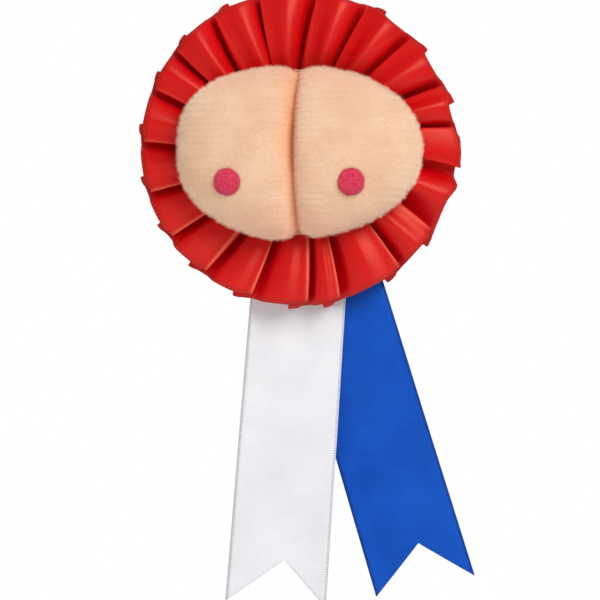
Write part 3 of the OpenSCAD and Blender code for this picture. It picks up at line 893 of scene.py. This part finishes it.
# %% [markdown]
# ## Brushed knit
# The cover is a fine rib knit, brushed so that a short nap stands on it. Three things show: soft
# shaded ribs, rows of tiny loops between them, and a paler halo where the nap is seen edge on. The
# loops are relief in the material and sheen gives the halo. The colour is painted warmer and darker
# towards the sewn edges and in the cinched line: painted shade, standing in for light that passes
# through cloth several times there. A rough diffuse and a little light let in under the surface
# keep the edges as bright as brushed fibre is.

# %% Knit material
PEACH = (0.88, 0.60, 0.40, 1)
PEACH_PALE = (0.93, 0.68, 0.48, 1)
# The colour of the painted shade towards the pad's sewn edges.
PEACH_PINK = (0.88, 0.46, 0.33, 1)
PEACH_SHADE = (0.76, 0.45, 0.28, 1)
PEACH_LIGHT = (0.98, 0.78, 0.60, 1)
# The colour of the painted shade deep in the cleft.
CLEFT_SHADE_TINT = (0.95, 0.36, 0.11, 1)
LOOP_PITCH = 0.85 * MM
WALE_PITCH = 0.7 * MM
# How strongly the painted shade at the sewn edges shows.
EDGE_SHADE_SHARE = 0.45


def painted_edge_shade(tree, place):
    """How near a point is to the pad's top, bottom and back, where the cover is sewn and a warm
    shade is painted on.
    """
    axes = add(tree, "SeparateXYZ", {"Vector": place})
    up = sums(tree, "ABSOLUTE", sums(tree, "SUBTRACT", axes.outputs["Z"], PAD_MID_Z * MM))
    rim = ramp(tree, up, 0.55 * PAD_HALF_TALL * MM, PAD_HALF_TALL * MM)
    behind = ramp(tree, axes.outputs["Y"], -(EQUATOR + 7) * MM, -(EQUATOR - 2) * MM)
    return times(tree, sums(tree, "MAXIMUM", rim, behind), EDGE_SHADE_SHARE)


def knit():
    """Peach rib knit on object coordinates, in metres."""
    material, tree, surface = start_material(
        "peach_knit", 0.85, Sheen_Weight=1.0, Sheen_Roughness=0.35, Sheen_Tint=(1, 0.86, 0.74, 1),
        Subsurface_Weight=0.3, Subsurface_Radius=(1.0, 0.45, 0.25), Subsurface_Scale=3 * MM,
        Diffuse_Roughness=1.0, Specular_IOR_Level=0.2)
    place = object_place(tree)
    centred = add(tree, "Mapping", {"Vector": place, "Location": (0.0025, 0, 0.001)}).outputs[0]
    broad = stripes(tree, centred, RIB_PITCH * MM, "Z", 0.8)
    body = mix(tree, ramp(tree, clouds(tree, place, 90.0, 5.0), 0.3, 0.7), PEACH, PEACH_PALE)
    ribbed = mix(tree, times(tree, broad, 0.15), body, PEACH_PALE)
    grain = times(tree, ramp(tree, clouds(tree, place, 1300.0, 3.0), 0.45, 0.7), 0.35)
    # Painted warm shade towards the pad's top, bottom and back.
    warm = mix(tree, painted_edge_shade(tree, place), mix(tree, grain, ribbed, PEACH_SHADE), PEACH_PINK)
    # Painted shade in the cleft: the deeper a point is tucked in, the browner it is painted.
    deep = add(tree, "Attribute", attribute_name="tucked").outputs["Fac"]
    tucked = mix(tree, times(tree, deep, 0.85), warm, CLEFT_SHADE_TINT)
    tree.links.new(tucked, surface.inputs["Base Color"])
    loops = times(tree, stripes(tree, centred, LOOP_PITCH, "Z", 1.5), 0.35)
    wales = times(tree, stripes(tree, centred, WALE_PITCH, "X", 2.5), 0.35)
    brushed = times(tree, clouds(tree, place, 2600.0, 2.0), 0.9)
    relief = sums(tree, "ADD", sums(tree, "ADD", loops, wales), brushed)
    bump(tree, surface, relief, 0.12 * MM, 0.8)
    return material


peach_knit = knit()
pad.data.materials.clear()
pad.data.materials.append(peach_knit)
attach(pad, "rosette")
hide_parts("pad_cover")

# %% [markdown]
# ## Nap
# A brushed surface has a soft outline, which no relief in a material can give. So short fibres
# stand on the cloth as real cones. One create_cone call makes a fibre of four faces; they are
# made in small batches, because an operator on a mesh that is already large gets slow.

# %% Fibres on a surface
BATCH = 150


def stand_fibres(name, spots, length, radius, lean):
    """One piece of many short fibres, each at a (point, normal) of spots."""
    whole = bmesh.new()
    for first in range(0, len(spots), BATCH):
        batch = bmesh.new()
        for point, normal in spots[first:first + BATCH]:
            tilt = Vector((random.gauss(0, lean), random.gauss(0, lean), random.gauss(0, lean)))
            along = (normal + tilt).normalized()
            tall = length * random.uniform(0.5, 1.3)
            turned = along.to_track_quat("Z", "Y").to_matrix().to_4x4()
            spot = Matrix.Translation(point + along * tall * 0.4) @ turned
            bmesh.ops.create_cone(batch, cap_ends=True, segments=3, radius1=radius, radius2=0,
                                  depth=tall, matrix=spot)
        mesh = bpy.data.meshes.new("batch")
        batch.to_mesh(mesh)
        batch.free()
        whole.from_mesh(mesh)
        bpy.data.meshes.remove(mesh)
    return make_piece(whole, name, smooth=False)


def random_spots(mesh, count, keep):
    """Points and normals at random faces of a mesh that keep says yes to."""
    faces = [p for p in mesh.polygons if keep(p)]
    chosen = [random.choice(faces) for _ in range(count)]
    return [(p.center.copy(), p.normal.copy()) for p in chosen]


# %% Nap of the pad
NAP_COUNT = 12000
NAP_LONG = 1.15 * MM
NAP_R = 0.038 * MM
NAP_LEAN = 0.45
random.seed(11)


def on_outline(face):
    """True near the pad's widest ring, where the nap is seen against what is behind it."""
    return abs(face.normal.y) < 0.4 and abs(face.center.y / MM + EQUATOR - 1) < 4


def on_front(face):
    """True where the pad faces the viewer."""
    return face.normal.y < -0.2


nap_spots = random_spots(pad.data, NAP_COUNT, on_front)
nap_spots += random_spots(pad.data, NAP_COUNT, on_outline)
nap = stand_fibres("pad_nap", nap_spots, NAP_LONG, NAP_R, NAP_LEAN)


# %% Colour of the nap
def fibre_material(name, first, second, scale=400.0):
    """Fine fibre that varies in shade from one place to the next."""
    material, tree, surface = start_material(name, 0.8, Sheen_Weight=0.4, Specular_IOR_Level=0.2)
    cloudy = ramp(tree, clouds(tree, object_place(tree), scale, 3.0), 0.35, 0.65)
    tree.links.new(mix(tree, cloudy, first, second), surface.inputs["Base Color"])
    return material


nap.data.materials.append(fibre_material("peach_nap", PEACH_PALE, PEACH_LIGHT))
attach(nap, "rosette")

# %% [markdown]
# ## Wadding
# Inside each lobe is a lump of polyester fibre. It can't be seen until the cover is off, yet it is
# a piece of its own. An icosphere with a noisy surface reads as fluffed fibre, where a smooth
# ball would read as foam. It is a little smaller than the lobe it fills.

# %% Fillings
FILL_OUT = 1.5 * MM  # how far a lump lies towards its lobe's end
FILL_AHEAD = 3.5 * MM  # how far its middle lies in front of the widest ring
FILL_WIDE = 0.88  # its size as a share of the lobe it fills, across and in depth
FILL_DEEP = 0.6


def fluff_lobe(name, side, node):
    """A fluffed lump that fills one lobe; side is -1 for the left one."""
    low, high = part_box(node)
    middle, half = (low + high) / 2, (high - low) / 2
    bm = bmesh.new()
    bmesh.ops.create_icosphere(bm, subdivisions=5, radius=1)
    for vertex in bm.verts:
        rough = 0.86 + 0.06 * noise.noise(vertex.co * 3.1) + 0.04 * noise.noise(vertex.co * 9.7)
        u = vertex.co * rough
        vertex.co = Vector((middle.x + side * FILL_OUT + half.x * FILL_WIDE * u.x,
                            -EQUATOR * MM - FILL_AHEAD + half.y * FILL_DEEP * u.y,
                            middle.z + half.z * FILL_WIDE * u.z))
    piece = make_piece(bm, name)
    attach(piece, "rosette")
    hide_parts(node)
    return piece


lobes = [("left_wadding", -1, "left_filling"), ("right_wadding", 1, "right_filling")]
wadding = fibre_material("wadding", (0.7, 0.7, 0.67, 1), (0.9, 0.9, 0.88, 1), 900.0)
for name, side, node in lobes:
    fluff_lobe(name, side, node).data.materials.append(wadding)

# %% [markdown]
# ## Felt dots
# Each dot is a small domed disc of wool felt, sewn down so that its edge sinks into the knit. A
# sphere flattened to a lens and draped over the pad gives the dome and the sunk edge at once. To
# drape it, a ray is shot at the pad from in front of each point, and the point moves by what the
# pad's surface does there. Fibres at the rim make the outline fuzzy.

# %% Dots
DOT_R = 4.85
DOT_CROWN = 1.9
pad_points = [v.co for v in pad.data.vertices]
pad_tree = BVHTree.FromPolygons(pad_points, [p.vertices for p in pad.data.polygons])


def pad_front(x, z):
    """The pad's front surface, straight ahead of a place in metres, and its normal."""
    hit, normal, _, _ = pad_tree.ray_cast(Vector((x, -0.1, z)), Vector((0, 1, 0)))
    return hit, normal


def felt_dot(name, node):
    """A lens of felt draped on the pad over the node's own place."""
    low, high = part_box(node)
    middle = (low + high) / 2
    _, normal = pad_front(middle.x, middle.z)
    bm = bmesh.new()
    bmesh.ops.create_uvsphere(bm, u_segments=56, v_segments=28, radius=1)
    bmesh.ops.rotate(bm, verts=bm.verts, matrix=Matrix.Rotation(math.radians(90), 3, "X"))
    for vertex in bm.verts:
        u = vertex.co.copy()
        ragged = 1 + 0.06 * noise.noise(Vector((u.x, 0, u.z)) * 2.2 + middle * 90)
        x = middle.x + u.x * DOT_R * ragged * MM
        z = middle.z + u.z * DOT_R * ragged * MM
        hit, _ = pad_front(x, z)
        lump = 0.12 * noise.noise(u * 4)
        vertex.co = Vector((x, hit.y, z)) + normal * (DOT_CROWN * -u.y + 0.25 + lump) * MM
    piece = make_piece(bm, name)
    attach(piece, "rosette")
    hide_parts(node)
    return piece


# %% [markdown]
# ## Felt
# Felt is fibre matted together, with no weave at all. Clumps of a paler and a deeper raspberry
# show that, with small cells as relief. A pattern of loops or lines would make it cloth.

# %% Felt material
FELT_DEEP = (0.60, 0.022, 0.06, 1)
FELT_PALE = (0.76, 0.06, 0.12, 1)
FELT_FUZZ = (0.75, 0.12, 0.24, 1)


def felt():
    """Raspberry wool felt: matted fibre with paler and darker flecks."""
    material, tree, surface = start_material(
        "raspberry_felt", 0.9, Sheen_Weight=0.5, Sheen_Roughness=0.5, Sheen_Tint=(1, 0.6, 0.7, 1),
        Specular_IOR_Level=0.15)
    place = object_place(tree)
    clumps = clouds(tree, place, 1100.0, 6.0, 0.7)
    matted = add(tree, "TexVoronoi", {"Vector": place, "Scale": 2400.0}).outputs["Distance"]
    shade = mix(tree, ramp(tree, clumps, 0.35, 0.65), FELT_DEEP, FELT_PALE)
    tree.links.new(shade, surface.inputs["Base Color"])
    bump(tree, surface, sums(tree, "ADD", clumps, times(tree, matted, 0.3)), 0.08 * MM, 0.35)
    return material


raspberry = felt()
raspberry_fibre = fibre_material("raspberry_fibre", FELT_DEEP, FELT_FUZZ)

# %% Both dots and their fuzz
DOT_FIBRES = 1500
FUZZ_LONG = 0.8 * MM
FUZZ_R = 0.035 * MM
FUZZ_LEAN = 0.5
random.seed(5)


def on_dot_edge(face):
    """True at the thin outer part of a dot, where loose fibre stands out."""
    return abs(face.normal.y) < 0.75


for name, node in [("left_felt_dot", "left_dot"), ("right_felt_dot", "right_dot")]:
    dot = felt_dot(name, node)
    dot.data.materials.append(raspberry)
    fuzz = stand_fibres(name + "_nap", random_spots(dot.data, DOT_FIBRES, on_dot_edge),
                        FUZZ_LONG, FUZZ_R, FUZZ_LEAN)
    fuzz.data.materials.append(raspberry_fibre)
    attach(fuzz, "rosette")

# %% [markdown]
# ## Cinch thread
# A pale pink thread of two plies is pulled down the cleft, where it sinks into the knit, and ends
# in a short stitch at each notch. Twisted plies are what make a line read as thread. Each ply is a
# helix round the thread's route, and a curve with a round bevel turned into a mesh gives a clean
# closed tube.

# %% Twisted thread
PLY_R = 0.17 * MM
PLY_OFF = 0.16 * MM
TWIST = 1.5 * MM
TWIST_STEPS = 7


def along_route(route, step):
    """Points every step along a route, each with its direction."""
    legs = [(b - a).length for a, b in zip(route, route[1:])]
    total, found = sum(legs), []
    count = max(2, round(total / step))
    for i in range(count + 1):
        left = total * i / count
        for a, b, leg in zip(route, route[1:], legs):
            if left <= leg + 1e-9 or b is route[-1]:
                spot = a.lerp(b, min(1, left / leg))
                found.append((spot, (b - a).normalized(), total * i / count))
                break
            left -= leg
    return found


def ply(route, turn_from):
    """One ply of a twisted thread as a mesh."""
    curve = bpy.data.curves.new("ply", "CURVE")
    curve.dimensions = "3D"
    curve.bevel_depth = PLY_R
    curve.bevel_resolution = 1
    curve.use_fill_caps = True
    points = along_route(route, TWIST / TWIST_STEPS)
    line = curve.splines.new("POLY")
    line.points.add(len(points) - 1)
    for target, (spot, direction, far) in zip(line.points, points):
        turn = turn_from + 2 * math.pi * far / TWIST
        across = abs(direction.x) > 0.9
        side = direction.orthogonal() if across else direction.cross(Vector((1, 0, 0)))
        side.normalize()
        offset = side * math.cos(turn) + direction.cross(side) * math.sin(turn)
        target.co = (*(spot + offset * PLY_OFF), 1)
    holder = bpy.data.objects.new("ply", curve)
    scene.collection.objects.link(holder)
    mesh = applied(holder)
    bpy.data.objects.remove(holder)
    return mesh


def twisted_thread(name, routes):
    """A two-ply thread along each of the routes, as one piece."""
    bm = bmesh.new()
    for route in routes:
        for turn_from in (0, math.pi):
            bm.from_mesh(ply(route, turn_from))
    bmesh.ops.recalc_face_normals(bm, faces=bm.faces)
    return make_piece(bm, name)


# %% Route of the cinch thread
THREAD_STEPS = 40
THREAD_SUNK = 0.25 * MM
STITCH = 4.6
STITCH_AHEAD = 0.3 * MM  # how far a stitch stands in front of its notch and above it
STITCH_ABOVE = 0.9 * MM
OUTSIDE = 60  # from where the cleft's floor is looked for


def cleft_point(share):
    """A point sunk in the cleft's floor, from the top notch (0) to the bottom one (1)."""
    turn = math.pi * share
    outward = Vector((0, -math.sin(turn), math.cos(turn)))
    z = PAD_MID_Z + PAD_HALF_TALL * math.cos(turn)
    middle = Vector((cleft_x(z) * MM, -EQUATOR * MM, PAD_MID_Z * MM))
    hit, _, _, _ = pad_tree.ray_cast(middle + outward * OUTSIDE * MM, -outward)
    return hit - outward * THREAD_SUNK


cleft_route = [cleft_point(i / THREAD_STEPS) for i in range(THREAD_STEPS + 1)]
half_stitch = Vector((STITCH / 2 * MM, 0, 0))
stitch_routes = []
for end in (cleft_route[0], cleft_route[-1]):
    lift = Vector((0, -STITCH_AHEAD, STITCH_ABOVE * math.copysign(1, end.z)))
    stitch_routes.append([end + lift - half_stitch, end + lift + half_stitch])
cinch = twisted_thread("cinch_plies", [cleft_route, *stitch_routes])


# %% Spun thread
def thread_material(name, first, second):
    """Spun thread with short diagonal fibres."""
    material, tree, surface = start_material(name, 0.7, Sheen_Weight=0.3)
    place = object_place(tree)
    spun = stripes(tree, place, 0.25 * MM, "DIAGONAL", 3.0)
    cloudy = clouds(tree, place, 800.0, 3.0)
    shade = sums(tree, "ADD", times(tree, spun, 0.5), times(tree, cloudy, 0.5))
    tone = mix(tree, ramp(tree, shade, 0.25, 0.75), first, second)
    tree.links.new(tone, surface.inputs["Base Color"])
    bump(tree, surface, spun, 0.03 * MM)
    return material


pink = thread_material("pink_thread", (0.72, 0.3, 0.24, 1), (0.92, 0.55, 0.48, 1))
cinch.data.materials.append(pink)
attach(cinch, "rosette")
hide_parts("cinch_thread")

# %% [markdown]
# ## Finishes of the hidden and rear pieces
# The card, the glue, the threads and the bar pin keep the model's own shapes, which are exact.
# Each still needs its real surface: card is pulp with flecks and a soft bump, hot glue is waxy
# and slightly see-through, and nickel plate has fine drawing lines and faint handling marks.

# %% Card, glue and wire
def card():
    """Grey-white board with pulp flecks."""
    material, tree, surface = start_material("card", 0.85)
    place = object_place(tree)
    pulp = clouds(tree, place, 350.0, 8.0, 0.7)
    flecks = add(tree, "TexVoronoi", {"Vector": place, "Scale": 420.0}).outputs["Distance"]
    board = mix(tree, ramp(tree, pulp, 0.3, 0.7), (0.60, 0.58, 0.53, 1), (0.74, 0.72, 0.67, 1))
    fleck = times(tree, ramp(tree, flecks, 0.16, 0.06), 0.5)
    tree.links.new(mix(tree, fleck, board, (0.34, 0.30, 0.25, 1)), surface.inputs["Base Color"])
    bump(tree, surface, pulp, 0.06 * MM, 0.8)
    return material


def glue():
    """Set hot-melt glue."""
    material, tree, surface = start_material("glue", 0.32, Transmission_Weight=0.25)
    cloudy = clouds(tree, object_place(tree), 260.0, 4.0)
    tone = mix(tree, cloudy, (0.80, 0.72, 0.50, 1), (0.92, 0.88, 0.74, 1))
    tree.links.new(tone, surface.inputs["Base Color"])
    bump(tree, surface, cloudy, 0.15 * MM, 0.6)
    return material


def plated_steel(name, tone, dark, roughness):
    """Bright plate with drawing lines along X and handling marks."""
    material, tree, surface = start_material(name, roughness, Metallic=1.0)
    place = object_place(tree)
    long_way = add(tree, "Mapping", {"Vector": place, "Scale": (30, 1500, 1500)}).outputs[0]
    drawn = clouds(tree, long_way, 1.0, 3.0)
    marks = clouds(tree, place, 500.0, 6.0)
    plate = mix(tree, ramp(tree, marks, 0.35, 0.75), tone, dark)
    tree.links.new(plate, surface.inputs["Base Color"])
    rough = ramp(tree, marks, 0.3, 0.75, roughness - 0.06, roughness + 0.14)
    tree.links.new(rough, surface.inputs["Roughness"])
    bump(tree, surface, drawn, 0.004 * MM, 0.3)
    return material


# %% Finishes onto the model's own nodes
board = card()
nickel = plated_steel("nickel", (0.72, 0.71, 0.70, 1), (0.55, 0.54, 0.53, 1), 0.22)
wire = plated_steel("staple_wire", (0.66, 0.66, 0.68, 1), (0.48, 0.48, 0.5, 1), 0.3)
linen = thread_material("linen_thread", (0.55, 0.52, 0.44, 1), (0.82, 0.79, 0.7, 1))
red_thread = thread_material("red_thread", (0.35, 0.005, 0.008, 1), (0.62, 0.02, 0.025, 1))
finishes = {
    "front_card": (board, "card"),
    "back_disc": (board, "card"),
    "glue_dabs": (glue(), "glue"),
    "tail_staple": (wire, "staple_wire"),
    "bar_stitches": (linen, "linen_thread"),
    "gather_thread": (red_thread, "red_thread"),
    "pin_bar": (nickel, "nickel"),
    "pin_rivet": (nickel, "nickel"),
    "pin_needle": (nickel, "nickel"),
    "catch_barrel": (nickel, "nickel"),
}
for node, (material, slot) in finishes.items():
    piece = frame["nodes"][node]
    piece.data.materials.clear()
    piece.data.materials.append(material)
print("finished nodes", len(finishes))
